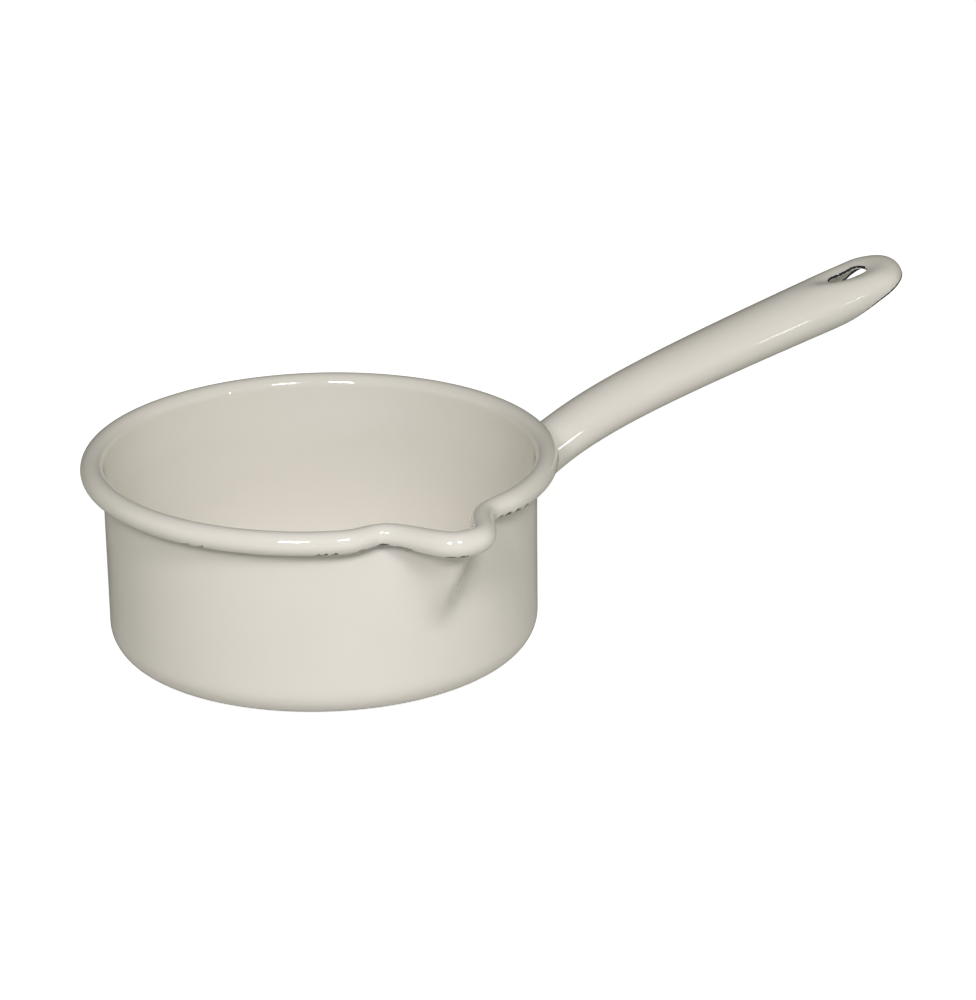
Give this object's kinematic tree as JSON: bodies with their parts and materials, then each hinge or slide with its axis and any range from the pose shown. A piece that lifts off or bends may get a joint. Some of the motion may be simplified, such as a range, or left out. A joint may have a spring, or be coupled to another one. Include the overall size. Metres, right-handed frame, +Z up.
{
  "type": "saucepan",
  "caption": "Straight-sided saucepan of enamelled sheet steel with a rolled rim, a pressed pouring spout in its side and a long hollow upswept handle with a hanging slot.",
  "frame": {"origin": "on the body's axis, at the underside of the base", "axes": "+X along the handle, -Y towards the pouring spout, +Z up out of the mouth"},
  "size_m": [0.3552, 0.1935, 0.0978],
  "materials": {
    "cream_enamel": "glossy fired cream enamel over steel"
  },
  "bodies": {
    "root": {"pot_body": "cream_enamel", "handle_tube": "cream_enamel", "handle_seam_weld": "cream_enamel", "handle_root_weld": "cream_enamel"}
  },
  "joints": []
}
